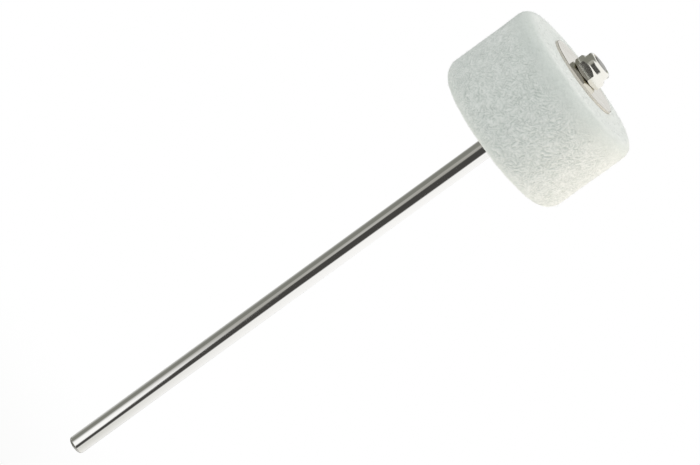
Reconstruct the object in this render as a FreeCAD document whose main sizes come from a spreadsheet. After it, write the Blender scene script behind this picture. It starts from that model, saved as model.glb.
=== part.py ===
import FreeCAD, Part
import os
import re
import Sketcher

# Felt bass drum beater: a plated steel rod with a threaded head end, a felt head clamped on it between two
# wide washers, a clip that stops the lower washer, and a self-locking nut that pulls the stack together.
# Lengths are millimetres. +Z runs along the rod from its tip to its head, and the origin is on the rod's axis
# at the height where a pedal's clamp grips it. Each piece is drawn from its own lower end upwards.

SIZES = (
    ("shaft_diameter", 8.0, "rod, and the thread's outer diameter"),
    ("grip_height", 50.0, "tip of the rod to the pedal's clamp"),
    ("clip_height", 212.5, "tip of the rod to the clip's upper face, where the stack stands"),
    ("tip_round", 1.3, "rounding of the rod's tip"),
    ("end_chamfer", 0.8, "chamfer of the rod's threaded end"),
    ("end_projection", 0.3, "rod's threaded end above the nut"),
    ("thread_pitch", 1.25, "coarse metric thread"),
    ("thread_depth", 0.767, "rod's thread, crest to root"),
    ("thread_root_flat", 0.208, "flat at the rod's thread root"),
    ("thread_half_angle", 30.0, "flank angle in degrees"),
    ("thread_turns_below", 8.0, "full turns of thread below the nut"),
    ("thread_flank_gap", 0.08, "nut's thread to rod's thread, along the axis"),
    ("thread_crest_gap", 0.10, "nut's thread to rod's thread, across the axis"),
    ("clip_diameter", 14.0, "clip, outside"),
    ("clip_thickness", 0.9, "clip"),
    ("clip_throat", 5.8, "clip's open side"),
    ("clip_relief_diameter", 3.2, "two hollows between the clip's three prongs"),
    ("clip_relief_offset", 3.9, "hollows' centres from the axis"),
    ("clip_relief_angle", 120.0, "hollows' centres from the open side, in degrees"),
    ("clip_gap", 0.02, "clip's prongs to the groove's floor"),
    ("groove_diameter", 7.0, "rod at the clip's groove"),
    ("groove_play", 0.05, "groove's width over the clip's thickness"),
    ("washer_diameter", 35.0, "wide washers, outside"),
    ("washer_thickness", 1.5, "wide washers"),
    ("washer_bore_gap", 0.2, "wide washers' bore to the rod"),
    ("washer_edge_round", 0.3, "stamped edge of the wide washers"),
    ("felt_diameter", 70.0, "felt head, outside"),
    ("felt_length", 43.0, "felt head, between the washers"),
    ("felt_lower_round", 7.2, "felt head's edge on the rod's side"),
    ("felt_upper_round", 5.4, "felt head's edge on the nut's side"),
    ("felt_bore_gap", 0.1, "felt head's bore to the rod"),
    ("nut_flats", 13.0, "nut, across flats"),
    ("nut_height", 8.0, "nut with its collar"),
    ("nut_hex_height", 5.0, "nut's hexagon"),
    ("nut_face_diameter", 12.4, "flat ring at the hexagon's lower end, inside the corner chamfers"),
    ("nut_chamfer_angle", 30.0, "lower corner chamfers, in degrees"),
    ("nut_shoulder_angle", 42.0, "shoulder from the hexagon up to the collar, in degrees"),
    ("nut_countersink", 0.25, "nut's lower mouth to the rod"),
    ("collar_diameter", 12.2, "nut's collar, outside"),
    ("collar_round", 1.4, "rolled-over edge of the collar"),
    ("collar_lip", 0.6, "rolled-over rim that keeps the insert in"),
    ("collar_mouth_diameter", 9.2, "opening in the rolled-over rim"),
    ("insert_diameter", 10.6, "nylon insert, outside"),
    ("insert_height", 2.2, "nylon insert"),
    ("insert_bore_gap", 0.06, "nylon insert's bore to the rod"),
    ("insert_edge", 0.3, "chamfer of the insert's bore"),
    ("cut_reach", 0.2, "how far a cutting profile passes the surface that it cuts"),
)

# Heights above the rod's tip, each built on the piece below it.
LOWER_WASHER_HEIGHT = "clip_height"
FELT_HEIGHT = LOWER_WASHER_HEIGHT + " + washer_thickness"
UPPER_WASHER_HEIGHT = FELT_HEIGHT + " + felt_length"
NUT_HEIGHT = UPPER_WASHER_HEIGHT + " + washer_thickness"
SHAFT_LENGTH = NUT_HEIGHT + " + nut_height + end_projection"
GROOVE_HEIGHT = "clip_height - clip_thickness - groove_play"

# Heights and radii that several features share.
INSERT_SEAT = "nut_height - collar_lip - insert_height"
SHAFT_RADIUS = "shaft_diameter / 2"
THREAD_ROOT_RADIUS = "shaft_diameter / 2 - thread_depth"
THREAD_SLOPE = "tan(thread_half_angle * 1 deg)"
NUT_CORNER_RADIUS = "nut_flats / 2 / cos(30 deg)"
AXIS = "0"
BASE = "0"

HEXAGON_SIDES = 6
FULL_TURN = 360
CUTTING_FEATURES = ("PartDesign::Groove", "PartDesign::Pocket", "PartDesign::SubtractiveHelix")
SAME_PLACE = 1e-6

doc = FreeCAD.newDocument("Beater")
sheet = doc.addObject("Spreadsheet::Sheet", "Sizes")


def fill_sheet():
    """Puts each driving dimension in the sheet as a name, a plain number and a note."""
    for row, (name, value, note) in enumerate(SIZES, start=1):
        sheet.set(f"A{row}", name)
        sheet.set(f"B{row}", str(value))
        sheet.set(f"C{row}", note)
        sheet.setAlias(f"B{row}", name)
    doc.recompute()


def formula(text):
    """Names the sheet in front of each driving dimension of a formula."""
    names = {name for name, value, note in SIZES}
    return re.sub(r"[a-z_]+", lambda word: "Sizes." + word[0] if word[0] in names else word[0], text)


def value_of(text):
    """Works a formula out as a number."""
    return float(sheet.evalExpression(formula(text)))


def bind(thing, **formulas):
    """Binds properties of a document object to formulas of the driving dimensions."""
    for name, text in formulas.items():
        thing.setExpression(name, formula(text))


def new_body(label, height):
    """Starts a piece that stands on the rod's axis at a height above the tip."""
    body = doc.addObject("PartDesign::Body", label)
    body.Label = label
    body.setExpression("Placement.Base.z", formula(f"{height} - grip_height"))
    return body


def new_sketch(body, name, plane):
    """Attaches an empty sketch to one of the piece's own origin planes."""
    sketch = body.newObject("Sketcher::SketchObject", name)
    support = next(feature for feature in body.Origin.OriginFeatures if feature.Role == plane)
    sketch.AttachmentSupport = (support, [""])
    sketch.MapMode = "FlatFace"
    return sketch


def tie(sketch, constraint, text):
    """Adds a constraint whose value is a formula."""
    index = sketch.addConstraint(Sketcher.Constraint(*constraint, value_of(text)))
    sketch.setExpression(f"Constraints[{index}]", formula(text))


def tie_point(sketch, point, place):
    """Ties a point of a sketch, as (geometry, vertex), to a place given as two formulas."""
    origin = (-1, 1)
    upright_axis, level_axis = -2, -1
    for kind, axis, text in zip(("DistanceX", "DistanceY"), (upright_axis, level_axis), place):
        if text == AXIS:
            sketch.addConstraint(Sketcher.Constraint("PointOnObject", *point, axis))
        else:
            tie(sketch, (kind, *origin, *point), text)


def outline(body, name, corners, plane="XZ_Plane"):
    """Draws a closed outline of straight lines through corners given as pairs of formulas."""
    sketch = new_sketch(body, name, plane)
    points = [FreeCAD.Vector(value_of(across), value_of(up), 0) for across, up in corners]
    count = len(points)
    for line in range(count):
        sketch.addGeometry(Part.LineSegment(points[line], points[(line + 1) % count]), False)
    for line in range(count):
        sketch.addConstraint(Sketcher.Constraint("Coincident", line, 2, (line + 1) % count, 1))
        tie_point(sketch, (line, 1), corners[line])
    return sketch


def ring(inner, outer, low, high):
    """Gives the four corners of a ring's section."""
    return ((inner, low), (outer, low), (outer, high), (inner, high))


def turned(body, name, corners, kind="Revolution"):
    """Turns an outline about the axis, to add material or, as a Groove, to cut it."""
    feature = body.newObject(f"PartDesign::{kind}", name)
    feature.Profile = outline(body, name + "Outline", corners)
    feature.ReferenceAxis = (feature.Profile[0], ["V_Axis"])
    feature.Angle = FULL_TURN
    doc.recompute()


def cut_through(body, name, sketch):
    """Cuts a sketch right through a flat piece, above and below the sketch's plane."""
    feature = body.newObject("PartDesign::Pocket", name)
    feature.Profile = sketch
    feature.Type = "ThroughAll"
    feature.Midplane = True
    doc.recompute()


def circle_edges(shape, places):
    """Finds the names of the circular edges about the axis at (radius, height) formulas."""
    names = []
    for radius, height in places:
        wanted = (value_of(radius), value_of(height))
        for index, edge in enumerate(shape.Edges, start=1):
            if isinstance(edge.Curve, Part.Circle):
                found = (edge.Curve.Radius, edge.Curve.Center.z)
                if max(abs(a - b) for a, b in zip(wanted, found)) < SAME_PLACE:
                    names.append(f"Edge{index}")
    if len(names) != len(places):
        raise ValueError(f"{len(names)} edges found at {places}")
    return names


def dress_edges(body, name, kind, places, **size):
    """Rounds (Fillet) or breaks (Chamfer) circular edges of the piece so far."""
    base = body.Tip
    feature = body.newObject(f"PartDesign::{kind}", name)
    feature.Base = (base, circle_edges(base.Shape, places))
    bind(feature, **size)
    doc.recompute()


def cut_thread(body, name, middle, inner, outer, inner_half, outer_half, turns):
    """Cuts a right-hand helical groove that starts with its middle at a height and climbs a number of turns."""
    section = (
        (inner, f"{middle} - ({inner_half})"),
        (outer, f"{middle} - ({outer_half})"),
        (outer, f"{middle} + {outer_half}"),
        (inner, f"{middle} + {inner_half}"),
    )
    feature = body.newObject("PartDesign::SubtractiveHelix", name)
    feature.Profile = outline(body, name + "Section", section)
    feature.ReferenceAxis = (feature.Profile[0], ["V_Axis"])
    feature.Mode = "pitch-height-angle"
    feature.LeftHanded = False
    bind(feature, Pitch="thread_pitch", Height=f"({turns}) * thread_pitch")
    doc.recompute()


def make_shaft():
    """Builds the rod: rounded tip, groove for the clip and a thread cut into its head end."""
    body = new_body("shaft", BASE)
    turned(body, "Rod", ring(AXIS, SHAFT_RADIUS, BASE, SHAFT_LENGTH))
    dress_edges(body, "Tip", "Fillet", [(SHAFT_RADIUS, BASE)], Radius="tip_round")
    dress_edges(body, "ThreadEnd", "Chamfer", [(SHAFT_RADIUS, SHAFT_LENGTH)], Size="end_chamfer")
    clip_groove = ring("groove_diameter / 2", SHAFT_RADIUS + " + cut_reach", GROOVE_HEIGHT, "clip_height")
    turned(body, "ClipGroove", clip_groove, "Groove")
    # The helix starts a whole number of turns below the nut's seat, so that the nut's thread is in step with it.
    cut_thread(
        body,
        "Thread",
        middle=f"{NUT_HEIGHT} - thread_turns_below * thread_pitch",
        inner=THREAD_ROOT_RADIUS,
        outer=SHAFT_RADIUS + " + cut_reach / 2",
        inner_half="thread_root_flat / 2",
        outer_half=f"thread_root_flat / 2 + (thread_depth + cut_reach / 2) * {THREAD_SLOPE}",
        turns="thread_turns_below + ceil((nut_height + end_projection) / thread_pitch) + 1",
    )
    return body


def make_retaining_clip():
    """Builds the clip: a flat disc, open to one side, with three prongs that reach the groove's floor."""
    body = new_body("retaining_clip", "clip_height - clip_thickness")
    outer = "clip_diameter / 2"
    turned(body, "Disc", ring("groove_diameter / 2 + clip_gap", outer, BASE, "clip_thickness"))
    throat = ring(AXIS, outer + " + cut_reach", "-clip_throat / 2", "clip_throat / 2")
    cut_through(body, "Opening", outline(body, "Throat", throat, "XY_Plane"))
    hollows = new_sketch(body, "Hollows", "XY_Plane")
    across = "clip_relief_offset * cos(clip_relief_angle * 1 deg)"
    up = "clip_relief_offset * sin(clip_relief_angle * 1 deg)"
    upwards = FreeCAD.Vector(0, 0, 1)
    for side, height in enumerate((up, f"-{up}")):
        centre = FreeCAD.Vector(value_of(across), value_of(height), 0)
        hollows.addGeometry(Part.Circle(centre, upwards, value_of("clip_relief_diameter / 2")), False)
        tie_point(hollows, (side, 3), (across, height))
        tie(hollows, ("Diameter", side), "clip_relief_diameter")
    cut_through(body, "Prongs", hollows)
    return body


def make_wide_washer(label, height):
    """Builds one of the two wide washers, with stamped edges."""
    body = new_body(label, height)
    outer = "washer_diameter / 2"
    turned(body, "Disc", ring(SHAFT_RADIUS + " + washer_bore_gap", outer, BASE, "washer_thickness"))
    rims = [(outer, BASE), (outer, "washer_thickness")]
    dress_edges(body, "StampedEdge", "Fillet", rims, Radius="washer_edge_round")
    return body


def make_felt_head():
    """Builds the felt head: a short cylinder with soft edges and a bore for the rod."""
    body = new_body("felt_head", FELT_HEIGHT)
    outer = "felt_diameter / 2"
    turned(body, "Felt", ring(SHAFT_RADIUS + " + felt_bore_gap", outer, BASE, "felt_length"))
    dress_edges(body, "LowerEdge", "Fillet", [(outer, BASE)], Radius="felt_lower_round")
    dress_edges(body, "UpperEdge", "Fillet", [(outer, "felt_length")], Radius="felt_upper_round")
    return body


def make_nut_body():
    """Builds the nut: chamfered hexagon, shoulder, round collar, seat for the insert and an internal thread."""
    body = new_body("nut_body", NUT_HEIGHT)
    hexagon = body.newObject("PartDesign::AdditivePrism", "Hexagon")
    hexagon.Polygon = HEXAGON_SIDES
    bind(hexagon, Circumradius=NUT_CORNER_RADIUS, Height="nut_hex_height")
    doc.recompute()
    face = "nut_face_diameter / 2"
    corner = NUT_CORNER_RADIUS + " + cut_reach"
    slope = f"({corner} - {face}) * tan(nut_chamfer_angle * 1 deg)"
    turned(body, "LowerCorners", ((face, BASE), (corner, BASE), (corner, slope)), "Groove")
    top = "nut_hex_height"
    collar = "collar_diameter / 2"
    drop = f"({corner} - {collar}) * tan(nut_shoulder_angle * 1 deg)"
    turned(body, "Shoulder", ((collar, top), (corner, top), (corner, f"{top} - {drop}")), "Groove")
    turned(body, "Collar", ring(AXIS, collar, top, "nut_height"))
    dress_edges(body, "RolledEdge", "Fillet", [(collar, "nut_height")], Radius="collar_round")
    mouth = SHAFT_RADIUS + " + nut_countersink"
    bore = THREAD_ROOT_RADIUS + " + thread_crest_gap"
    seat = "insert_diameter / 2"
    seat_top = INSERT_SEAT + " + insert_height"
    rim = "collar_mouth_diameter / 2"
    cavity = (
        (AXIS, BASE),
        (mouth, BASE),
        (bore, f"{mouth} - ({bore})"),
        (bore, INSERT_SEAT),
        (seat, INSERT_SEAT),
        (seat, seat_top),
        (rim, seat_top),
        (rim, "nut_height"),
        (AXIS, "nut_height"),
    )
    turned(body, "Cavity", cavity, "Groove")
    # The nut's groove runs half a pitch from the rod's, and takes the rod's ridge with a gap on each side.
    ridge_half = f"thread_pitch / 2 - thread_root_flat / 2 - thread_depth * {THREAD_SLOPE}"
    inner = f"{bore} - cut_reach / 2"
    cut_thread(
        body,
        "Thread",
        middle="-1.5 * thread_pitch",
        inner=inner,
        outer=SHAFT_RADIUS + " + thread_crest_gap",
        inner_half=f"{ridge_half} + thread_flank_gap + ({SHAFT_RADIUS} - ({inner})) * {THREAD_SLOPE}",
        outer_half=f"{ridge_half} + thread_flank_gap - thread_crest_gap * {THREAD_SLOPE}",
        turns=f"ceil(({INSERT_SEAT}) / thread_pitch) + 3",
    )
    return body


def make_nylon_insert():
    """Builds the ring that fills the collar's seat and grips the rod's thread."""
    body = new_body("nylon_insert", f"{NUT_HEIGHT} + {INSERT_SEAT}")
    bore = SHAFT_RADIUS + " + insert_bore_gap"
    turned(body, "Ring", ring(bore, "insert_diameter / 2", BASE, "insert_height"))
    dress_edges(body, "BoreEdges", "Chamfer", [(bore, BASE), (bore, "insert_height")], Size="insert_edge")
    return body


def check(pieces):
    """Stops if a feature failed, a cut removed nothing, or a piece isn't one valid solid."""
    for thing in doc.Objects:
        if "Invalid" in thing.State or "Error" in thing.State:
            raise ValueError(f"{thing.Name} failed: {thing.State}")
        if thing.TypeId in CUTTING_FEATURES and thing.Shape.Volume >= thing.BaseFeature.Shape.Volume:
            raise ValueError(f"{thing.Name} cuts nothing")
    for body in pieces:
        if body.Shape.isNull() or not body.Shape.isValid() or len(body.Shape.Solids) != 1:
            raise ValueError(f"{body.Label} isn't one valid solid")


def write(pieces):
    """Writes each piece to its own file, named for the piece."""
    os.makedirs("parts", exist_ok=True)
    for body in pieces:
        body.Shape.exportStep(f"parts/{body.Label}.step")
        print(f"{body.Label}: {body.Shape.Volume:.1f} cubic millimetres")


fill_sheet()
beater = [
    make_shaft(),
    make_retaining_clip(),
    make_wide_washer("lower_washer", LOWER_WASHER_HEIGHT),
    make_felt_head(),
    make_wide_washer("upper_washer", UPPER_WASHER_HEIGHT),
    make_nut_body(),
    make_nylon_insert(),
]
doc.recompute()
check(beater)
write(beater)
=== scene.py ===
"""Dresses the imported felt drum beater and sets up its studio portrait.

The rod, clip, washers and nut keep their CAD meshes and get the finishes of plated, phosphated and moulded
pieces. The felt is rebuilt here as a matted block with loose wool on it, because its CAD solid only holds
its outer form.
"""

import logging
import math
from dataclasses import dataclass, field
from enum import Enum

import bmesh
import bpy
from mathutils import Matrix, Vector


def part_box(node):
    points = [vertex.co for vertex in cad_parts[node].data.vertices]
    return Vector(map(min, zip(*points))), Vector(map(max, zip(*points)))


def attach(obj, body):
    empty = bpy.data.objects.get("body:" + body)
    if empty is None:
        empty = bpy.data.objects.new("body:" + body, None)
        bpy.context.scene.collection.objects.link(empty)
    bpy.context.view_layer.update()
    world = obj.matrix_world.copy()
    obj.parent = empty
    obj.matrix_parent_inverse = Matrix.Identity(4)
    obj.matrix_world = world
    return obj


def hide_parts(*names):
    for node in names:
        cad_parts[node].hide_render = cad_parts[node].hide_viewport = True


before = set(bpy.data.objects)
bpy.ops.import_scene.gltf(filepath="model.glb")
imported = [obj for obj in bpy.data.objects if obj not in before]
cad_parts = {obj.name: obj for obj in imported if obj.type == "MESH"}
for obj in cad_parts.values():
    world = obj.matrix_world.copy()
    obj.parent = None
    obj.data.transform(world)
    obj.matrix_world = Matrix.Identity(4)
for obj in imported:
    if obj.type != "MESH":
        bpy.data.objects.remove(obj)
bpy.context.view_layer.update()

LOG = logging.getLogger("beater")
MM = 0.001
QUARTER = math.pi / 2
WHITE = (1.0, 1.0, 1.0, 1.0)

Tree = bpy.types.NodeTree
Node = bpy.types.Node
Socket = bpy.types.NodeSocket
Material = bpy.types.Material
Mesh = bpy.types.Mesh
Object = bpy.types.Object
Pair = tuple[float, float]
CardRow = tuple[float, float, float, float]

# Blender's names of the nodes that are used most.
MATH = "ShaderNodeMath"
VECTOR = "ShaderNodeVectorMath"
RANGE = "ShaderNodeMapRange"
MIX = "ShaderNodeMix"
MIX_SHADER = "ShaderNodeMixShader"
NOISE = "ShaderNodeTexNoise"
SPLIT = "ShaderNodeSeparateXYZ"

# A Mix node has several sockets of the same name, so these go by number.
NUMBER_A, NUMBER_B = 2, 3
COLOUR_A, COLOUR_B, COLOUR_OUT = 6, 7, 2

FLAT = (1.0, 1.0, 0.0)  # times a vector, takes its height away
HALVES = (0.5, 0.5, 0.5)
NOISE_MIDDLE = 0.5
NOISE_SPAN = {"From Min": 0.3, "From Max": 0.7}  # where nearly all of a noise's values lie
# the relief gives the felt's painted shade in its pits, and on the rubbed ends a paler colour that is partly
# painted light
RELIEF = "relief"  # attribute with the height of the felt's matting, for its colour


class Grain(Enum):
    """How the marks of making run on a metal piece: along Z, or in no direction."""

    DRAWN = (1.0, 1.0, 0.02)
    TUMBLED = (1.0, 1.0, 1.0)


def linear(colour: str) -> tuple[float, float, float, float]:
    """Turn an sRGB hex colour into the linear colour that Blender's sockets take.

    Args:
        colour: Six hex digits after a hash.

    Returns:
        Red, green, blue and an alpha of 1.
    """
    parts = (int(colour[i:i + 2], 16) / 255 for i in (1, 3, 5))
    return *(c / 12.92 if c <= 0.04045 else ((c + 0.055) / 1.055) ** 2.4 for c in parts), 1.0


def feed(tree: Tree, node: Node, inputs: dict) -> None:
    """Set a node's inputs.

    Args:
        tree: The node's tree.
        node: Node whose inputs are set.
        inputs: What each input gets, by its name or number: a value, an output socket that is linked to it,
            or a node whose first output is.
    """
    for name, value in inputs.items():
        source = value.outputs[0] if isinstance(value, Node) else value
        if isinstance(source, Socket):
            tree.links.new(source, node.inputs[name])
        else:
            node.inputs[name].default_value = source


def add_node(tree: Tree, kind: str, inputs: dict | None = None, **settings: object) -> Node:
    """Add a node to a tree, with its settings, values and links.

    Args:
        tree: Tree that the node goes into.
        kind: Blender's name of the node's type.
        inputs: What each input gets, as for feed.
        settings: The node's own properties.

    Returns:
        The new node.
    """
    node = tree.nodes.new(kind)
    for name, value in settings.items():
        setattr(node, name, value)
    feed(tree, node, inputs or {})
    return node


def emptied(owner: Material | bpy.types.World) -> Tree:
    """Turn on the nodes of a material or world and clear them away.

    Args:
        owner: Material or world.

    Returns:
        Its empty tree.
    """
    owner.use_nodes = True
    owner.node_tree.nodes.clear()
    return owner.node_tree


def sized_tree(name: str, *sizes: str) -> tuple[Tree, bpy.types.bpy_prop_collection]:
    """Begin a geometry node tree that takes a mesh, named sizes and a seed.

    Args:
        name: Name of the tree.
        sizes: Names of the sizes.

    Returns:
        The tree, and the sockets that give what it takes.
    """
    tree = bpy.data.node_groups.new(name, "GeometryNodeTree")
    for way in ("INPUT", "OUTPUT"):
        tree.interface.new_socket("Geometry", in_out=way, socket_type="NodeSocketGeometry")
    for size in sizes:
        tree.interface.new_socket(size, in_out="INPUT", socket_type="NodeSocketFloat")
    tree.interface.new_socket("Seed", in_out="INPUT", socket_type="NodeSocketInt")
    return tree, add_node(tree, "NodeGroupInput").outputs


def end_tree(tree: Tree, shape: Node, finish: str) -> None:
    """End a geometry node tree with real geometry in one finish.

    Args:
        tree: Tree to end.
        shape: Node that gives the geometry.
        finish: Name of the material.
    """
    real = add_node(tree, "GeometryNodeRealizeInstances", {"Geometry": shape})
    finished = add_node(tree, "GeometryNodeSetMaterial", {
        "Geometry": real, "Material": bpy.data.materials[finish]})
    add_node(tree, "NodeGroupOutput", {0: finished})


def new_object(name: str, mesh: Mesh) -> Object:
    """Put a mesh into the scene.

    Args:
        name: Name of the object.
        mesh: Mesh with the object's place in its vertices.

    Returns:
        The new object.
    """
    obj = bpy.data.objects.new(name, mesh)
    bpy.context.scene.collection.objects.link(obj)
    return obj


def grown(obj: Object, tree: Tree, values: dict[str, float]) -> Mesh:
    """Run a geometry node tree on an object.

    Args:
        obj: Object that the tree starts from.
        tree: Tree with named inputs.
        values: Value of each named input.

    Returns:
        The result as a plain mesh.
    """
    modifier = obj.modifiers.new(tree.name, "NODES")
    modifier.node_group = tree
    sockets = {item.name: item.identifier for item in tree.interface.items_tree if item.in_out == "INPUT"}
    for name, value in values.items():
        modifier[sockets[name]] = value
    scene_state = bpy.context.evaluated_depsgraph_get()
    mesh = bpy.data.meshes.new_from_object(
        obj.evaluated_get(scene_state), preserve_all_data_layers=True, depsgraph=scene_state)
    obj.modifiers.remove(modifier)
    while mesh.materials[0] is None:  # an empty slot can come before the tree's own material
        mesh.materials.pop(index=0)
    return mesh


def dressed(node: str, material: Material) -> Object:
    """Give a CAD piece its finish.

    Args:
        node: Name of the piece.
        material: Its finish.

    Returns:
        The piece's object.
    """
    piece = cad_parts[node]
    piece.material_slots[0].material = material
    return piece


@dataclass(frozen=True)
class Tufts:
    """The felt's matting: tufts all over a round block, each of a few bent strands that run its own way.

    Narrow pits part the strands, and are matted over in places. The seed picks how the strands bend.
    """

    seed: float
    least_crowding: float = 0.8  # strands in the width of one, in the tufts with the widest strands
    most_crowding: float = 1.25  # and in those with the narrowest
    first_pit: float = 1.0  # where the pits start from a tuft's middle, in radians of their wave
    shallowest_pit: float = 0.45  # depth, where the deepest is 1
    mat_seed: float = 5.0
    mats_per_strand: float = 0.7
    mat_closed: float = 0.36  # noise up to which a pit is matted over
    mat_open: float = 0.5  # and from which it is open

    def add(self, tree: Tree, place: Socket, tuft: Socket | float, strand: Socket | float) -> Node:
        """Add the nodes of the matting to a geometry or shader tree.

        Args:
            tree: Tree that they go into.
            place: Coordinates about the block's axis, Z.
            tuft: Width of a tuft, in the unit of the coordinates.
            strand: Width of a strand, in the same unit.

        Returns:
            A node whose value goes from 0 in the deepest pits to 1 on top of the strands.
        """
        per_tuft = add_node(tree, MATH, {0: 1.0, 1: tuft}, operation="DIVIDE")
        noise = add_node(tree, NOISE, {
            "Vector": place, "W": self.seed, "Scale": per_tuft, "Detail": 1.0}, noise_dimensions="4D")
        bend = add_node(tree, VECTOR, {0: noise.outputs["Color"], 1: HALVES}, operation="SUBTRACT")
        shift = add_node(tree, VECTOR, {0: bend, "Scale": tuft}, operation="SCALE")
        bent = add_node(tree, VECTOR, {0: place, 1: shift}, operation="ADD")
        cell = add_node(tree, "ShaderNodeTexVoronoi", {
            "Vector": bent, "W": self.seed, "Scale": per_tuft}, voronoi_dimensions="4D").outputs
        inside = add_node(tree, VECTOR, {0: bent, 1: cell["Position"]}, operation="SUBTRACT")
        outward = add_node(tree, VECTOR, {0: place, 1: FLAT}, operation="MULTIPLY")
        drawn = add_node(tree, VECTOR, {0: cell["Color"], 1: HALVES}, operation="SUBTRACT")
        lift = add_node(tree, VECTOR, {0: drawn, 1: outward}, operation="PROJECT")
        level = add_node(tree, VECTOR, {0: drawn, 1: lift}, operation="SUBTRACT")
        across = add_node(tree, VECTOR, {0: level}, operation="NORMALIZE")
        along = add_node(tree, VECTOR, {0: inside, 1: across}, operation="DOT_PRODUCT").outputs["Value"]
        picks = add_node(tree, SPLIT, {0: cell["Color"]}).outputs
        count = add_node(tree, MATH, {0: along, 1: strand}, operation="DIVIDE")
        spread = add_node(tree, RANGE, {
            "Value": picks[2], "To Min": self.least_crowding * math.pi,
            "To Max": self.most_crowding * math.pi})
        wave = add_node(tree, MATH, {0: count, 1: spread, 2: self.first_pit}, operation="MULTIPLY_ADD")
        swing = add_node(tree, MATH, {0: wave}, operation="SINE")
        round_top = add_node(tree, MATH, {0: swing}, operation="ABSOLUTE")
        gap = add_node(tree, MATH, {0: 1.0, 1: round_top}, operation="SUBTRACT")
        deep = add_node(tree, RANGE, {"Value": picks[1], "To Min": self.shallowest_pit})
        pit = add_node(tree, MATH, {0: gap, 1: deep}, operation="MULTIPLY")
        per_mat = add_node(tree, MATH, {0: self.mats_per_strand, 1: strand}, operation="DIVIDE")
        mats = add_node(tree, NOISE, {
            "Vector": place, "W": self.seed + self.mat_seed, "Scale": per_mat, "Detail": 2.0},
            noise_dimensions="4D")
        left = add_node(tree, RANGE, {
            "Value": mats, "From Min": self.mat_closed, "From Max": self.mat_open},
            interpolation_type="SMOOTHSTEP")
        cut = add_node(tree, MATH, {0: pit, 1: left}, operation="MULTIPLY")
        return add_node(tree, MATH, {0: 1.0, 1: cut}, operation="SUBTRACT")


@dataclass(frozen=True)
class Finish:
    """A material, named for what the real surface is made of and how. Pattern sizes are in millimetres."""

    name: str
    colour: str

    def start(self) -> tuple[Material, Tree, Node, Socket]:
        """Begin a material whose patterns sit on Object coordinates.

        Returns:
            The material, its tree, its shader, and Object coordinates in millimetres.
        """
        material = bpy.data.materials.new(self.name)
        tree = emptied(material)
        shader = add_node(tree, "ShaderNodeBsdfPrincipled", {"Base Color": linear(self.colour)})
        add_node(tree, "ShaderNodeOutputMaterial", {"Surface": shader})
        place = add_node(tree, "ShaderNodeTexCoord").outputs["Object"]
        millimetres = add_node(tree, "ShaderNodeMapping", {"Vector": place, "Scale": (1 / MM,) * 3})
        return material, tree, shader, millimetres.outputs[0]


@dataclass(frozen=True, kw_only=True)
class PlatedSteel(Finish):
    """Steel with a bright plated skin: a clear mirror, broken a little by fine marks and by handling.

    The marks of drawing and tumbling are a few hundredths of a millimetre wide in the real metal. That is
    too fine to show, so they are drawn about ten times as wide.
    """

    grain: Grain
    grain_width: float
    roughness: float
    haze: float  # roughness that handling adds
    haze_size: float
    haze_start: float = 0.4  # noise from which it shows
    haze_full: float = 0.75  # and at which all of it is there
    relief: float
    relief_strength: float = 0.2

    def skin(self, tree: Tree, shader: Node, place: Socket) -> Node:
        """Add the nodes of the plated skin.

        Args:
            tree: The material's tree.
            shader: Its shader.
            place: Object coordinates in millimetres.

        Returns:
            A node that gives the roughness.
        """
        along = add_node(tree, "ShaderNodeMapping", {"Vector": place, "Scale": self.grain.value})
        marks = add_node(tree, NOISE, {
            "Vector": along, "Scale": 1 / self.grain_width, "Detail": 3.0, "Roughness": 0.6})
        bump = add_node(tree, "ShaderNodeBump", {
            "Height": marks, "Strength": self.relief_strength, "Distance": self.relief * MM})
        feed(tree, shader, {"Metallic": 1.0, "Normal": bump})
        smears = add_node(tree, NOISE, {
            "Vector": place, "Scale": 1 / self.haze_size, "Detail": 4.0, "Distortion": 0.6})
        dull = add_node(tree, RANGE, {
            "Value": smears, "From Min": self.haze_start, "From Max": self.haze_full,
            "To Min": self.roughness, "To Max": self.roughness + self.haze})
        uneven = add_node(tree, MATH, {0: marks, 1: NOISE_MIDDLE}, operation="SUBTRACT")
        return add_node(tree, MATH, {0: uneven, 1: self.haze, 2: dull}, operation="MULTIPLY_ADD")

    def make(self) -> Material:
        """Build the material.

        Returns:
            The finished material.
        """
        material, tree, shader, place = self.start()
        feed(tree, shader, {"Roughness": self.skin(tree, shader, place)})
        return material


@dataclass(frozen=True, kw_only=True)
class SawnRod(PlatedSteel):
    """Plated bar with a sawn end: the mirror of the bar, and above a certain height a dull grey end."""

    end: str
    end_height: float
    end_blend: float = 0.1
    end_roughness: float = 0.45

    def make(self) -> Material:
        """Build the material.

        Returns:
            The finished material.
        """
        material, tree, shader, place = self.start()
        rough = self.skin(tree, shader, place)
        height = add_node(tree, SPLIT, {0: place}).outputs["Z"]
        sawn = add_node(tree, RANGE, {
            "Value": height, "From Min": self.end_height - self.end_blend, "From Max": self.end_height})
        colour = add_node(tree, MIX, {
            0: sawn, COLOUR_A: linear(self.colour), COLOUR_B: linear(self.end)}, data_type="RGBA")
        mixed = add_node(tree, MIX, {0: sawn, NUMBER_A: rough, NUMBER_B: self.end_roughness})
        feed(tree, shader, {"Base Color": colour.outputs[COLOUR_OUT], "Roughness": mixed})
        return material


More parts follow.
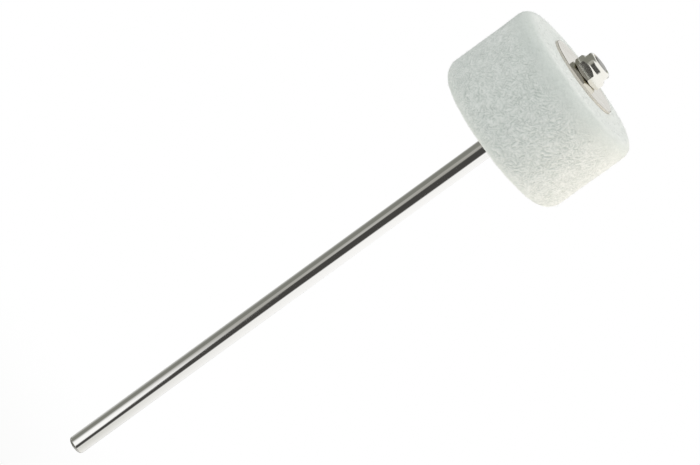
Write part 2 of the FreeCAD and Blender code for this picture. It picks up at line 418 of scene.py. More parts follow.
@dataclass(frozen=True, kw_only=True)
class StampedSheet(PlatedSteel):
    """Plated sheet steel stamped into a disc: a mirror face, and a dull pale rim where the punch sheared it.

    The rim's two rounded edges stay bare mirrors, a little darker than the face, and show as thin lines;
    that darker colour is painted shade, for dark reflections and the shadow where the washer meets the felt.
    The punch's marks on the rim are drawn a few times as wide as real ones, which are too fine to show.
    """

    rim: str
    # colour of the rim's edges, darkened with painted shade for dark reflections and the contact shadow
    edge: str
    rim_radius: float
    rim_blend: float = 0.05
    rim_roughness: float = 0.55
    rim_bloom: float = 0.92  # how much of the rim's metal look is lost
    edge_slant: float = 0.55  # height of the normal down to which an edge is bare
    wall_slant: float = 0.25  # and below which the rim is sheared
    shear_mark: float = 0.3
    least_shear: float = 0.65  # how dull the brightest marks are, where the dullest are 1

    def make(self) -> Material:
        """Build the material.

        Returns:
            The finished material.
        """
        material, tree, shader, place = self.start()
        rough = self.skin(tree, shader, place)
        flat = add_node(tree, VECTOR, {0: place, 1: FLAT}, operation="MULTIPLY")
        radius = add_node(tree, VECTOR, {0: flat}, operation="LENGTH").outputs["Value"]
        rim = add_node(tree, RANGE, {
            "Value": radius, "From Min": self.rim_radius, "From Max": self.rim_radius + self.rim_blend})
        normal = add_node(tree, "ShaderNodeTexCoord").outputs["Normal"]
        upright = add_node(tree, SPLIT, {0: normal}).outputs["Z"]
        slant = add_node(tree, MATH, {0: upright}, operation="ABSOLUTE")
        wall = add_node(tree, RANGE, {
            "Value": slant, "From Min": self.edge_slant, "From Max": self.wall_slant})
        marks = add_node(tree, NOISE, {"Vector": flat, "Scale": 1 / self.shear_mark, "Detail": 2.0})
        streaked = add_node(tree, RANGE, {"Value": marks, **NOISE_SPAN, "To Min": self.least_shear})
        sheared = add_node(tree, MATH, {0: rim, 1: wall}, operation="MULTIPLY")
        share = add_node(tree, MATH, {0: sheared, 1: streaked}, operation="MULTIPLY")
        # painted shade: the rim's edges take the darker edge colour
        mirror = add_node(tree, MIX, {
            0: rim, COLOUR_A: linear(self.colour), COLOUR_B: linear(self.edge)}, data_type="RGBA")
        colour = add_node(tree, MIX, {
            0: share, COLOUR_A: mirror.outputs[COLOUR_OUT], COLOUR_B: linear(self.rim)}, data_type="RGBA")
        mixed = add_node(tree, MIX, {0: share, NUMBER_A: rough, NUMBER_B: self.rim_roughness})
        bare = add_node(tree, MATH, {0: share, 1: -self.rim_bloom, 2: 1.0}, operation="MULTIPLY_ADD")
        feed(tree, shader, {
            "Base Color": colour.outputs[COLOUR_OUT], "Roughness": mixed, "Metallic": bare})
        return material


@dataclass(frozen=True)
class PhosphatedSteel(Finish):
    """Spring steel in its dark phosphate coat: matt grey-black crystals with an oily sheen.

    Real crystals are about 0.01 mm across, which is too fine to show, so they are drawn larger.
    """

    crystal: float = 0.15
    relief: float = 0.01
    relief_strength: float = 0.3
    patch: float = 2.0
    oiliest: float = 0.35
    driest: float = 0.6

    def make(self) -> Material:
        """Build the material.

        Returns:
            The finished material.
        """
        material, tree, shader, place = self.start()
        crystals = add_node(tree, "ShaderNodeTexVoronoi", {"Vector": place, "Scale": 1 / self.crystal})
        patches = add_node(tree, NOISE, {"Vector": place, "Scale": 1 / self.patch, "Detail": 3.0})
        rough = add_node(tree, RANGE, {
            "Value": patches, **NOISE_SPAN, "To Min": self.oiliest, "To Max": self.driest})
        bump = add_node(tree, "ShaderNodeBump", {
            "Height": crystals, "Strength": self.relief_strength, "Distance": self.relief * MM})
        feed(tree, shader, {"Metallic": 1.0, "Roughness": rough, "Normal": bump})
        return material


@dataclass(frozen=True)
class MouldedNylon(Finish):
    """Natural nylon, moulded: milky, half glossy, a little light goes into it."""

    ior: float = 1.53
    milkiness: float = 0.2
    depth: float = 0.6
    patch: float = 3.0
    glossiest: float = 0.32
    dullest: float = 0.5

    def make(self) -> Material:
        """Build the material.

        Returns:
            The finished material.
        """
        material, tree, shader, place = self.start()
        patches = add_node(tree, NOISE, {"Vector": place, "Scale": 1 / self.patch, "Detail": 3.0})
        rough = add_node(tree, RANGE, {
            "Value": patches, **NOISE_SPAN, "To Min": self.glossiest, "To Max": self.dullest})
        feed(tree, shader, {
            "IOR": self.ior, "Subsurface Weight": self.milkiness, "Subsurface Scale": self.depth * MM,
            "Roughness": rough})
        return material


@dataclass(frozen=True, kw_only=True)
class PressedFelt(Finish):
    """Hard pressed wool felt: off-white, matted in short strands, with shade painted grey into the pits
    between them.

    Wool fibres are about 0.03 mm thick, too fine to show, so the strands are drawn ten times as thick.
    """

    # colour of the shade painted into the pits between the strands
    pit: str
    strand: float
    strands_per_tuft: int = 4
    strand_relief: float = 0.15
    relief_strength: float = 0.5
    patch: float
    strand_share: float = 0.4  # what the strands add to the block's relief, for the colour
    patch_share: float = 0.4  # and what the patches add
    # the pits' colour is painted shade
    darkest: float = 0.55  # sum of the three where the felt has the pits' colour
    palest: float = 1.75  # and where it has its own
    seed: float = 3.0

    def make(self) -> Material:
        """Build the material, with shade painted darker where the block's relief is low.

        Returns:
            The finished material.
        """
        material, tree, shader, place = self.start()
        relief = add_node(tree, "ShaderNodeAttribute", attribute_name=RELIEF).outputs["Fac"]
        strands = Tufts(self.seed).add(tree, place, self.strands_per_tuft * self.strand, self.strand)
        patches = add_node(tree, NOISE, {"Vector": place, "Scale": 1 / self.patch, "Detail": 2.0})
        height = add_node(tree, MATH, {
            0: strands, 1: self.strand_share, 2: relief}, operation="MULTIPLY_ADD")
        mottled = add_node(tree, MATH, {
            0: patches, 1: self.patch_share, 2: height}, operation="MULTIPLY_ADD")
        # painted shade: the pits' colour shows where the relief is low
        depth = add_node(tree, RANGE, {"Value": mottled, "From Min": self.darkest, "From Max": self.palest})
        colour = add_node(tree, MIX, {
            0: depth, COLOUR_A: linear(self.pit), COLOUR_B: linear(self.colour)}, data_type="RGBA")
        bump = add_node(tree, "ShaderNodeBump", {
            "Height": strands, "Strength": self.relief_strength, "Distance": self.strand_relief * MM})
        feed(tree, shader, {
            "Base Color": colour.outputs[COLOUR_OUT], "Normal": bump, "Roughness": 0.95,
            "Specular IOR Level": 0.2, "Sheen Weight": 0.25, "Sheen Roughness": 0.5})
        return material


@dataclass(frozen=True, kw_only=True)
class LooseWool(Finish):
    """Single wool fibres: pale, with a faint sheen, each a little different."""

    dark: str
    patch: float

    def make(self) -> Material:
        """Build the material.

        Returns:
            The finished material.
        """
        material, tree, shader, place = self.start()
        tints = add_node(tree, NOISE, {"Vector": place, "Scale": 1 / self.patch, "Detail": 1.0})
        colour = add_node(tree, MIX, {
            0: tints, COLOUR_A: linear(self.dark), COLOUR_B: linear(self.colour)}, data_type="RGBA")
        feed(tree, shader, {
            "Base Color": colour.outputs[COLOUR_OUT], "Roughness": 0.8, "Specular IOR Level": 0.3,
            "Sheen Weight": 0.2})
        return material


@dataclass
class FeltHead:
    """The felt: a pressed block with rounded edges and a bore, matted all over, with loose wool on it.

    Both ends stand up a little round the washers, which have sunk into them, and the matting is rubbed
    smooth towards both ends. Lengths are in metres.
    """

    # pit is the shade painted into the felt's pits
    felt: PressedFelt = PressedFelt("pressed_wool_felt", "#F1F2EE", pit="#C8CFC8", strand=0.3, patch=14.0)
    wool: LooseWool = LooseWool("loose_wool", "#EEF0EB", dark="#D5DAD4", patch=1.5)
    top_round: float = 5.4 * MM
    bottom_round: float = 7.2 * MM
    bore_radius: float = 4.1 * MM
    washer_radius: float = 17.5 * MM
    lip_gap: float = 0.1 * MM
    lip_height: float = 0.45 * MM
    lip_reach: float = 8.0 * MM
    pressed_gap: float = 0.3 * MM  # from the washers' rim to where the matting starts
    pressed_reach: float = 3.0 * MM  # and to where it is full
    step: float = 0.34 * MM
    coarse_step: float = 2.5 * MM  # where the washers and the rod hide the block
    around: int = 640
    tuft_width: float = 2.6 * MM
    strand_width: float = 1.2 * MM
    strand_height: float = 0.4 * MM
    lump_width: float = 14 * MM
    lump_height: float = 0.5 * MM
    lump_level: float = 0.62  # noise at which a lump neither rises nor sinks
    rub_start: float = 13 * MM  # below the upper end, where the matting starts to be rubbed
    rub_end: float = 3 * MM  # and where it is rubbed most
    rub_slant: Pair = (-0.45, -0.95)  # the same towards the lower end, by the height of the normal
    rub_left: float = 0.15  # share of the matting that is left there
    # painted light: rubbed places on the flat ends get a paler colour than those on the sides and rounded
    # edges
    end_slant: float = 0.8  # height of the normal up to which a rubbed place has the side's colour
    side_relief: float = 0.5  # relief that stands for that colour
    rubbed_and_lit_end_relief: float = 1.06  # and for that of the ends
    fibres: float = 4.0e5  # on a square metre
    fibre_length: float = 1.1 * MM
    fibre_radius: float = 0.02 * MM
    fibre_bend: float = 0.3 * MM
    fibre_lean: Pair = (72.0, 94.0)  # from upright, in degrees
    fibre_sizes: Pair = (0.5, 1.5)  # times the length and the radius
    seed: int = 7
    low: Vector = field(default_factory=lambda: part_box("felt_head")[0])
    high: Vector = field(default_factory=lambda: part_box("felt_head")[1])

    def lip(self, radius: float) -> float:
        """Tell how far the felt stands up round a washer, at a radius outside it."""
        share = min(1.0, (radius - self.washer_radius - self.lip_gap) / self.lip_reach)
        return self.lip_height * (1 - share) ** 2

    def run(self, start: Pair, end: Pair, step: float, lift: float = 0.0) -> list[Pair]:
        """Trace a straight run of the section, without its last point.

        Args:
            start: Radius and height where it starts.
            end: Radius and height where it ends.
            step: Distance between its points.
            lift: What the lip is multiplied by before it is added to the heights.

        Returns:
            Radius and height of each point.
        """
        count = max(1, round(math.dist(start, end) / step))
        points = ([a + (b - a) * i / count for a, b in zip(start, end)] for i in range(count))
        return [(out, height + lift * self.lip(out)) for out, height in points]

    def turn(self, height: float, edge: float, start: float) -> list[Pair]:
        """Trace a quarter turn of the section about a rounded edge, without its last point.

        Args:
            height: Height of the edge's centre.
            edge: The edge's radius.
            start: Angle where it starts, in radians.

        Returns:
            Radius and height of each point.
        """
        count = round(QUARTER * edge / self.step)
        angles = (start + QUARTER * i / count for i in range(count))
        return [(self.high.x - edge + edge * math.cos(a), height + edge * math.sin(a)) for a in angles]

    def outline(self) -> list[Pair]:
        """Trace half the block's section, from the bore's lower end round the outside to its upper end.

        Returns:
            Radius and height of each point.
        """
        radius, bottom, top = self.high.x, self.low.z, self.high.z
        side_start, side_end = bottom + self.bottom_round, top - self.top_round
        bore, seat = self.bore_radius, self.washer_radius + self.lip_gap
        return [
            *self.run((bore, bottom), (seat, bottom), self.coarse_step),
            *self.run((seat, bottom), (seat, bottom - self.lip_height), self.step),
            *self.run((seat, bottom), (radius - self.bottom_round, bottom), self.step, lift=-1.0),
            *self.turn(side_start, self.bottom_round, -QUARTER),
            *self.run((radius, side_start), (radius, side_end), self.step),
            *self.turn(side_end, self.top_round, 0.0),
            *self.run((radius - self.top_round, top), (seat, top), self.step, lift=1.0),
            *self.run((seat, top + self.lip_height), (seat, top), self.step),
            *self.run((seat, top), (bore, top), self.coarse_step),
            *self.run((bore, top), (bore, bottom), self.coarse_step),
        ]

    def block(self) -> Mesh:
        """Turn the section about Z.

        Returns:
            A closed mesh of the plain block.
        """
        rings, around = self.outline(), self.around
        turns = [math.tau * i / around for i in range(around)]
        corners = [(r * math.cos(a), r * math.sin(a), z) for r, z in rings for a in turns]
        rows = [(row * around, (row + 1) % len(rings) * around) for row in range(len(rings))]
        faces = [(here + i, here + (i + 1) % around, above + (i + 1) % around, above + i)
                 for here, above in rows for i in range(around)]
        mesh = bpy.data.meshes.new("felt_pad")
        mesh.from_pydata(corners, [], faces)
        mesh.shade_smooth()
        return mesh

    def clear_of_washers(self, tree: Tree) -> Node:
        """Add nodes that tell the open surface from what the washers and the bore hide.

        Args:
            tree: Geometry node tree.

        Returns:
            A node whose value rises from 0 at the washers' rim to 1 outside it.
        """
        place = add_node(tree, "GeometryNodeInputPosition")
        flat = add_node(tree, VECTOR, {0: place, 1: FLAT}, operation="MULTIPLY")
        radius = add_node(tree, VECTOR, {0: flat}, operation="LENGTH").outputs["Value"]
        return add_node(tree, RANGE, {
            "Value": radius, "From Min": self.washer_radius + self.pressed_gap,
            "From Max": self.washer_radius + self.pressed_reach}, interpolation_type="SMOOTHSTEP")

    def matting(self) -> Tree:
        """Build the tree that raises strands and lumps on the block.

        Returns:
            Geometry node tree, with sizes in metres as inputs.
        """
        tree, given = sized_tree(
            "felt_matting", "Tuft Width", "Strand Width", "Strand Height", "Lump Width", "Lump Height")
        place = add_node(tree, "GeometryNodeInputPosition").outputs[0]
        normal = add_node(tree, "GeometryNodeInputNormal").outputs[0]
        under, over = (Tufts(self.seed + layer).add(tree, place, given["Tuft Width"], given["Strand Width"])
                       for layer in range(2))
        strands = add_node(tree, MATH, {0: under, 1: over}, operation="MINIMUM")
        per_lump = add_node(tree, MATH, {0: 1.0, 1: given["Lump Width"]}, operation="DIVIDE")
        lumps = add_node(tree, NOISE, {
            "Vector": place, "W": given["Seed"], "Scale": per_lump, "Detail": 2.0}, noise_dimensions="4D")
        upright = add_node(tree, SPLIT, {0: normal}).outputs["Z"]
        height = add_node(tree, SPLIT, {0: place}).outputs["Z"]
        rubbed_above = add_node(tree, RANGE, {
            "Value": height, "From Min": self.high.z - self.rub_start,
            "From Max": self.high.z - self.rub_end, "To Min": 1.0, "To Max": self.rub_left},
            interpolation_type="SMOOTHSTEP")
        rubbed_below = add_node(tree, RANGE, {
            "Value": upright, "From Min": self.rub_slant[0], "From Max": self.rub_slant[1],
            "To Min": 1.0, "To Max": self.rub_left}, interpolation_type="SMOOTHSTEP")
        rubbed = add_node(tree, MATH, {0: rubbed_above, 1: rubbed_below}, operation="MINIMUM")
        raised = add_node(tree, MATH, {0: strands, 1: rubbed}, operation="MULTIPLY")
        sunk = add_node(tree, MATH, {0: raised, 1: rubbed}, operation="SUBTRACT")
        strand_rise = add_node(tree, MATH, {0: sunk, 1: given["Strand Height"]}, operation="MULTIPLY")
        lump = add_node(tree, MATH, {0: lumps, 1: self.lump_level}, operation="SUBTRACT")
        rise = add_node(tree, MATH, {
            0: lump, 1: given["Lump Height"], 2: strand_rise}, operation="MULTIPLY_ADD")
        kept = add_node(tree, MATH, {0: rise, 1: self.clear_of_washers(tree)}, operation="MULTIPLY")
        shift = add_node(tree, VECTOR, {0: normal, "Scale": kept}, operation="SCALE")
        pressed = add_node(tree, MATH, {0: 1.0, 1: rubbed}, operation="SUBTRACT")
        slant = add_node(tree, MATH, {0: upright}, operation="ABSOLUTE")
        # painted light: by the normal's slant, rubbed places on the ends are paler than on the sides and
        # rounded edges
        rubbed_tone_and_painted_light = add_node(tree, RANGE, {
            "Value": slant, "From Min": self.end_slant, "To Min": self.side_relief,
            "To Max": self.rubbed_and_lit_end_relief})
        # the colour's relief: the matting's real height, less painted pit shade where it is rubbed, and
        # painted light on the ends
        relief = add_node(tree, MATH, {0: pressed, 1: rubbed_tone_and_painted_light, 2: raised}, operation="MULTIPLY_ADD")
        marked = add_node(tree, "GeometryNodeStoreNamedAttribute", {
            "Geometry": given["Geometry"], "Name": RELIEF, "Value": relief},
            data_type="FLOAT", domain="POINT")
        moved = add_node(tree, "GeometryNodeSetPosition", {"Geometry": marked, "Offset": shift})
        end_tree(tree, moved, self.felt.name)
        return tree

    def fuzz(self) -> Tree:
        """Build the tree that scatters bent fibres over the block and leaves the block out.

        Returns:
            Geometry node tree, with sizes in metres as inputs.
        """
        tree, given = sized_tree("felt_fuzz", "Fibres per Square Metre", "Fibre Length", "Fibre Radius")
        rooted = add_node(tree, "GeometryNodeDistributePointsOnFaces", {
            "Mesh": given["Geometry"], "Selection": self.clear_of_washers(tree),
            "Density": given["Fibres per Square Metre"], "Seed": given["Seed"]}).outputs
        end = add_node(tree, "ShaderNodeCombineXYZ", {"Z": given["Fibre Length"]})
        bend = add_node(tree, VECTOR, {
            0: end, 1: HALVES, 2: (self.fibre_bend, 0, 0)}, operation="MULTIPLY_ADD")
        line = add_node(tree, "GeometryNodeCurveQuadraticBezier", {
            "Resolution": 4, "Start": (0, 0, 0), "Middle": bend, "End": end})
        section = add_node(tree, "GeometryNodeCurvePrimitiveCircle", {
            "Resolution": 3, "Radius": given["Fibre Radius"]})
        fibre = add_node(tree, "GeometryNodeCurveToMesh", {
            "Curve": line, "Profile Curve": section, "Fill Caps": True})
        least, most = (math.radians(angle) for angle in self.fibre_lean)
        lean = add_node(tree, "FunctionNodeRandomValue", {
            0: (least, 0, 0), 1: (most, 0, math.tau), "Seed": given["Seed"]}, data_type="FLOAT_VECTOR")
        leant = add_node(tree, "FunctionNodeEulerToRotation", {0: lean})
        turned = add_node(tree, "FunctionNodeRotateRotation", {
            "Rotation": rooted["Rotation"], "Rotate By": leant}, rotation_space="LOCAL")
        size = add_node(tree, "FunctionNodeRandomValue", {
            2: self.fibre_sizes[0], 3: self.fibre_sizes[1], "Seed": given["Seed"]}, data_type="FLOAT")
        placed = add_node(tree, "GeometryNodeInstanceOnPoints", {
            "Points": rooted["Points"], "Instance": fibre, "Rotation": turned, "Scale": size.outputs[1]})
        end_tree(tree, placed, self.wool.name)
        return tree

    def build(self) -> list[Object]:
        """Make the felt and its loose wool, and set them on the head.

        Returns:
            The finished pieces.
        """
        self.felt.make()
        self.wool.make()
        pad = new_object("felt_pad", self.block())
        pad.data = grown(pad, self.matting(), {
            "Tuft Width": self.tuft_width, "Strand Width": self.strand_width,
            "Strand Height": self.strand_height, "Lump Width": self.lump_width,
            "Lump Height": self.lump_height, "Seed": self.seed})
        fuzz = new_object("felt_fuzz", grown(pad, self.fuzz(), {
            "Fibres per Square Metre": self.fibres, "Fibre Length": self.fibre_length,
            "Fibre Radius": self.fibre_radius, "Seed": self.seed}))
        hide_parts("felt_head")
        for piece in (pad, fuzz):
            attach(piece, "head")
        return [pad, fuzz]


@dataclass
class Rod:
    """The rod and the clip in its groove, whose CAD shapes are the real ones."""

    bar: SawnRod = SawnRod(
        "nickel_plated_drawn_steel", "#FCFBF9", grain=Grain.DRAWN, grain_width=0.25, roughness=0.07,
        haze=0.05, haze_size=9.0, relief=0.004, end="#A6A5A1", end_height=216.0)
    clip: PhosphatedSteel = PhosphatedSteel("phosphated_spring_steel", "#5A5A5C")

    def build(self) -> list[Object]:
        """Give both pieces their finishes, and return their CAD objects."""
        return [dressed("shaft", self.bar.make()), dressed("retaining_clip", self.clip.make())]


@dataclass
class Washers:
    """The two wide washers that the felt is clamped between, whose CAD shapes are the real ones."""

    # edge is the painted shade on the rims' rounded edges
    sheet: StampedSheet = StampedSheet(
        "nickel_plated_stamped_steel", "#D2CEC1", grain=Grain.TUMBLED, grain_width=0.5, roughness=0.12,
        haze=0.08, haze_size=5.0, relief=0.006, rim="#E3DDD3", edge="#C2BEB3", rim_radius=17.2)

    def build(self) -> list[Object]:
        """Give both washers the same finish, and return their CAD objects."""
        sheet = self.sheet.make()
        return [dressed("lower_washer", sheet), dressed("upper_washer", sheet)]


@dataclass
class LockNut:
    """The self-locking nut and the nylon ring in its collar, whose CAD shapes are the real ones."""

    steel: PlatedSteel = PlatedSteel(
        "zinc_plated_forged_steel", "#F4F2EA", grain=Grain.TUMBLED, grain_width=0.6, roughness=0.1,
        haze=0.06, haze_size=3.0, relief=0.003)
    ring: MouldedNylon = MouldedNylon("natural_nylon", "#DEDBCF")

    def build(self) -> list[Object]:
        """Give both pieces their finishes, and return their CAD objects."""
        return [dressed("nut_body", self.steel.make()), dressed("nylon_insert", self.ring.make())]


def even_rows(start: float, end: float, *rows: Pair) -> tuple[CardRow, ...]:
    """Give the rows of a card that starts and ends at the same angles all the way up.

    Args:
        start: Angle where the card starts, in degrees.
        end: Angle where it ends.
        rows: Height of each row in metres, and how much the card covers there.

    Returns:
        Rows as a Card takes them.
    """
    return tuple((height, start, end, full) for height, full in rows)


@dataclass(frozen=True)
class Card:
    """A curved studio card round the object that only its metal sees.

    Each row of it is a height in metres, the angles where the card starts and ends there, in degrees about Z
    from the camera, the right-hand way round, and how much it covers there. The two fades are the degrees
    over which it comes in at its start and goes out at its end. Its last row has the radius times the taper,
    which is 1 for an upright card.
    """

    name: str
    shade: str
    fades: Pair
    rows: tuple[CardRow, ...]
    radius: float = 0.6
    taper: float = 1.0

    def build(self, facing: float, columns: int = 60) -> Object:
        """Make the card.

        Args:
            facing: Angle about Z from +X to the camera, in radians.
            columns: Faces across.

        Returns:
            The card, hidden from everything but reflections.
        """
        mesh = bpy.data.meshes.new(self.name)
        corners, cover = [], []
        wide, rows = columns + 1, len(self.rows) - 1
        fade_in, fade_out = self.fades
        for row, (height, start, end, full) in enumerate(self.rows):
            first, last = start - fade_in / 2, end + fade_out / 2
            radius = self.radius * (1 + (self.taper - 1) * row / rows)
            for column in range(wide):
                angle = first + (last - first) * column / columns
                turn = facing + math.radians(angle)
                corners.append((radius * math.cos(turn), radius * math.sin(turn), height))
                cover.append(full * min(1.0, (angle - first) / fade_in, (last - angle) / fade_out))
        mesh.from_pydata(corners, [], [
            (r * wide + c, r * wide + c + 1, (r + 1) * wide + c + 1, (r + 1) * wide + c)
            for r in range(rows) for c in range(columns)])
        mesh.attributes.new("cover", "FLOAT", "POINT").data.foreach_set("value", cover)
        material = bpy.data.materials.new(self.name)
        tree = emptied(material)
        shown = add_node(tree, MIX_SHADER, {
            0: add_node(tree, "ShaderNodeAttribute", attribute_name="cover").outputs["Fac"],
            1: add_node(tree, "ShaderNodeBsdfTransparent"),
            2: add_node(tree, "ShaderNodeEmission", {"Color": linear(self.shade)})})
        add_node(tree, "ShaderNodeOutputMaterial", {"Surface": shown})
        mesh.materials.append(material)
        card = new_object(self.name, mesh)
        card.visible_camera = card.visible_diffuse = card.visible_shadow = False
        return card


@dataclass(frozen=True)
class Softbox:
    """A round soft lamp that faces the felt, with its angles in degrees, about Z from the camera and up."""

    name: str
    colour: str
    power: float
    angle: float
    elevation: float
    size: float = 1.0
    distance: float = 1.4

    def build(self, facing: float) -> Object:
        """Make the lamp.

        Args:
            facing: Angle about Z from +X to the camera, in radians.

        Returns:
            The lamp.
        """
        lamp = bpy.data.lights.new(self.name, "AREA")
        lamp.shape, lamp.size = "DISK", self.size
        lamp.color, lamp.energy = linear(self.colour)[:3], self.power
        turn, lift = facing + math.radians(self.angle), math.radians(self.elevation)
        out = Vector((math.cos(turn) * math.cos(lift), math.sin(turn) * math.cos(lift), math.sin(lift)))
        light = bpy.data.objects.new(self.name, lamp)
        light.visible_glossy = False
        bpy.context.scene.collection.objects.link(light)
        middle = Vector((0, 0, sum(corner.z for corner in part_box("felt_head")) / 2))
        light.matrix_world = Matrix.Translation(middle + out * self.distance) @ out.to_track_quat(
            "Z", "Y").to_matrix().to_4x4()
        return light


@dataclass
class Portrait:
    """The camera, where the photograph was taken from. Angles are in degrees, and roll turns Z clockwise."""

    azimuth: float = 13.0
    elevation: float = 12.5
    roll: float = 53.97
    distance: float = 1.3968
    lens: float = 180.0
    sensor: float = 36.0
    aim_height: float = 0.092
    aim_lift: float = 0.00555
    nearest: float = 0.05
    furthest: float = 100.0

    def facing(self) -> float:
        """Give the angle about Z from +X to the camera, in radians. Azimuth 0 looks along +Y."""
        return math.radians(self.azimuth - 90)

    def build(self) -> Object:
        """Make the camera and look through it.

        Returns:
            The camera.
        """
        azimuth, elevation, roll = (math.radians(a) for a in (self.azimuth, self.elevation, self.roll))
        back = Vector((math.sin(azimuth) * math.cos(elevation), -math.cos(azimuth) * math.cos(elevation),
                       math.sin(elevation)))
        level = Vector((math.cos(azimuth), math.sin(azimuth), 0.0))
        overhead = back.cross(level)
        right = level * math.cos(roll) + overhead * math.sin(roll)
        up = overhead * math.cos(roll) - level * math.sin(roll)
        lens = bpy.data.cameras.new("portrait_camera")
        lens.lens, lens.sensor_width = self.lens, self.sensor
        lens.clip_start, lens.clip_end = self.nearest, self.furthest
        camera = bpy.data.objects.new("portrait_camera", lens)
        bpy.context.scene.collection.objects.link(camera)
        place = Matrix((right, up, back)).transposed().to_4x4()
        place.translation = Vector((0, 0, self.aim_height)) + up * self.aim_lift + back * self.distance
        camera.matrix_world = place
        bpy.context.scene.camera = camera
        return camera


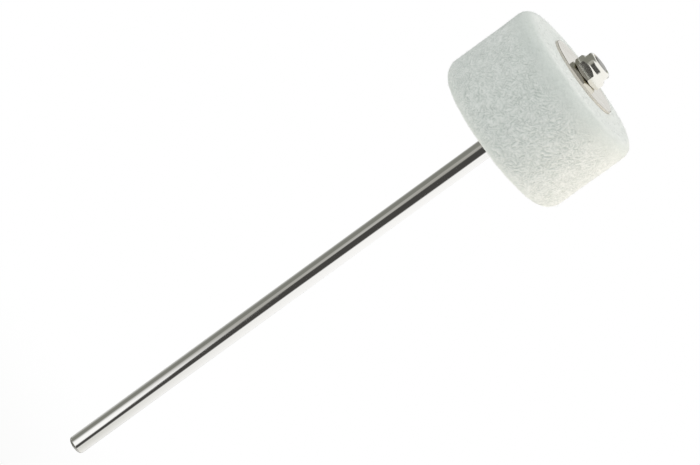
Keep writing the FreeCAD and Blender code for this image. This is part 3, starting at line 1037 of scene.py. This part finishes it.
@dataclass
class Studio:
    """A pale floor in an even white surround, soft lamps, and grey cards for the metal to mirror."""

    facing: float
    floor_height: float = -0.4
    floor_radius: float = 14.0
    floor_sides: int = 96
    floor_pale: float = 0.6  # distance from the origin up to which it is pale
    floor_white: float = 1.25  # and from which it is white
    floor_colour: str = "#E8E8E6"
    floor_glow: float = 0.2
    dome_strength: float = 0.755
    dome_colour: str = "#F2F6F7"
    lamps: tuple[Softbox, ...] = (
        Softbox("side_softbox", "#FFEEE2", power=12.6, angle=101.0, elevation=-8.0, size=1.15),
        Softbox("top_softbox", "#FFFBF5", power=6.2, angle=60.0, elevation=84.0),
        Softbox("fill_softbox", "#F6FAFF", power=1.1, angle=-48.0, elevation=8.0),
    )
    cards: tuple[Card, ...] = (
        Card("dark_card", "#434240", fades=(11, 11), rows=(
            (-0.34, 6, 35, 1), (-0.22, 0, 34, 1), (-0.16, -18, 32, 1), (-0.09, -34, 29, 1),
            (-0.02, -34, 35, 1), (0.03, -30, 41, 1), (0.062, -30, 41, 1), (0.075, -40, 47, 0.97),
            (0.2, -40, 47, 0.97), (0.26, -40, 41, 0.6), (0.34, -40, 41, 0.6), (0.38, -40, 41, 0))),
        Card("haze_card", "#A2A19B", fades=(14, 14), radius=0.64, rows=even_rows(
            -62, -24, (-0.24, 0), (-0.2, 0.25), (-0.17, 0.52), (-0.126, 0.97), (-0.082, 0.9),
            (-0.038, 0.75), (0.006, 1), (0.45, 1))),
        Card("rod_card", "#7D7E77", fades=(80, 26), radius=0.68, rows=(
            (-0.38, -205, -58, 1), (-0.285, -205, -58, 1), (-0.275, -143, -54, 1), (0.06, -163, -54, 1))),
        Card("grey_card", "#82837C", fades=(26, 26), radius=0.68, rows=even_rows(
            -160, -58, (0.06, 1), (1.2, 1), (2.6, 0))),
        Card("under_card", "#70706A", fades=(120, 120), radius=0.66, taper=0.03, rows=even_rows(
            -260, 80, (-0.39, 1), (-0.39, 1))),
        Card("back_card", "#8A8984", fades=(10, 10), radius=0.62, rows=even_rows(
            162, 196, (-0.38, 1), (0.0, 0))),
        Card("low_card", "#D6D6D1", fades=(20, 160), radius=0.66, rows=even_rows(
            35, 125, (-0.38, 1), (-0.25, 1), (-0.205, 0.62), (-0.131, 0.34), (-0.042, 0.18), (0.05, 0.27),
            (0.07, 0))),
        Card("far_card", "#565550", fades=(20, 20), radius=0.64, rows=even_rows(
            145, 235, (0.15, 0), (0.19, 1), (0.25, 1), (0.29, 0))),
    )

    @staticmethod
    def seen_white(tree: Tree) -> Node:
        """Add nodes that tell the rays that see the surround as white.

        Args:
            tree: Shader node tree.

        Returns:
            A node that gives 1 for camera, glossy and transmission rays, and 0 for the others.
        """
        path = add_node(tree, "ShaderNodeLightPath").outputs
        mirrored = add_node(tree, MATH, {
            0: path["Is Glossy Ray"], 1: path["Is Transmission Ray"]}, operation="MAXIMUM")
        return add_node(tree, MATH, {0: path["Is Camera Ray"], 1: mirrored}, operation="MAXIMUM")

    def build_world(self) -> None:
        """Make the surround: white to look at, and an even, slightly cool light on the object."""
        world = bpy.data.worlds.new("white_surround")
        bpy.context.scene.world = world
        tree = emptied(world)
        dome = add_node(tree, "ShaderNodeBackground", {
            "Color": linear(self.dome_colour), "Strength": self.dome_strength})
        white = add_node(tree, "ShaderNodeBackground", {"Color": WHITE, "Strength": 1.0})
        shown = add_node(tree, MIX_SHADER, {0: self.seen_white(tree), 1: dome, 2: white})
        add_node(tree, "ShaderNodeOutputWorld", {"Surface": shown})

    def build_floor(self) -> Object:
        """Make the floor: pale near the object, where its shadow falls, and white further out.

        Returns:
            The floor.
        """
        mesh = bpy.data.meshes.new("floor")
        shape = bmesh.new()
        bmesh.ops.create_circle(shape, cap_ends=True, radius=self.floor_radius, segments=self.floor_sides,
                                matrix=Matrix.Translation((0, 0, self.floor_height)))
        shape.to_mesh(mesh)
        shape.free()
        material = bpy.data.materials.new("pale_floor")
        tree = emptied(material)
        place = add_node(tree, "ShaderNodeTexCoord").outputs["Object"]
        far = add_node(tree, VECTOR, {0: place}, operation="LENGTH").outputs["Value"]
        beyond = add_node(tree, RANGE, {
            "Value": far, "From Min": self.floor_pale, "From Max": self.floor_white},
            interpolation_type="SMOOTHSTEP")
        board = add_node(tree, "ShaderNodeBsdfDiffuse", {"Color": linear(self.floor_colour)})
        glow = add_node(tree, "ShaderNodeEmission", {"Color": WHITE, "Strength": self.floor_glow})
        white = add_node(tree, "ShaderNodeEmission", {"Color": WHITE, "Strength": 1.0})
        near = add_node(tree, "ShaderNodeAddShader", {0: board, 1: glow})
        looked_at = add_node(tree, MIX_SHADER, {0: beyond, 1: near, 2: white})
        shown = add_node(tree, MIX_SHADER, {0: self.seen_white(tree), 1: near, 2: looked_at})
        under = add_node(tree, MIX_SHADER, {
            0: add_node(tree, "ShaderNodeNewGeometry").outputs["Backfacing"], 1: shown,
            2: add_node(tree, "ShaderNodeBsdfTransparent")})
        add_node(tree, "ShaderNodeOutputMaterial", {"Surface": under})
        mesh.materials.append(material)
        floor = new_object("floor", mesh)
        return floor

    def build(self) -> None:
        """Set up the whole studio."""
        bpy.context.scene.view_settings.view_transform = "Standard"
        self.build_world()
        self.build_floor()
        for item in (*self.lamps, *self.cards):
            item.build(self.facing)


def main() -> None:
    """Build the studio and the object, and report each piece."""
    logging.basicConfig(level=logging.INFO, format="%(name)s: %(message)s")
    portrait = Portrait()
    portrait.build()
    Studio(facing=portrait.facing()).build()
    for assembly in (Rod(), FeltHead(), Washers(), LockNut()):
        for piece in assembly.build():
            LOG.info("%s: %d faces, %s", piece.name, len(piece.data.polygons), piece.data.materials[0].name)


if __name__ == "__main__":
    main()
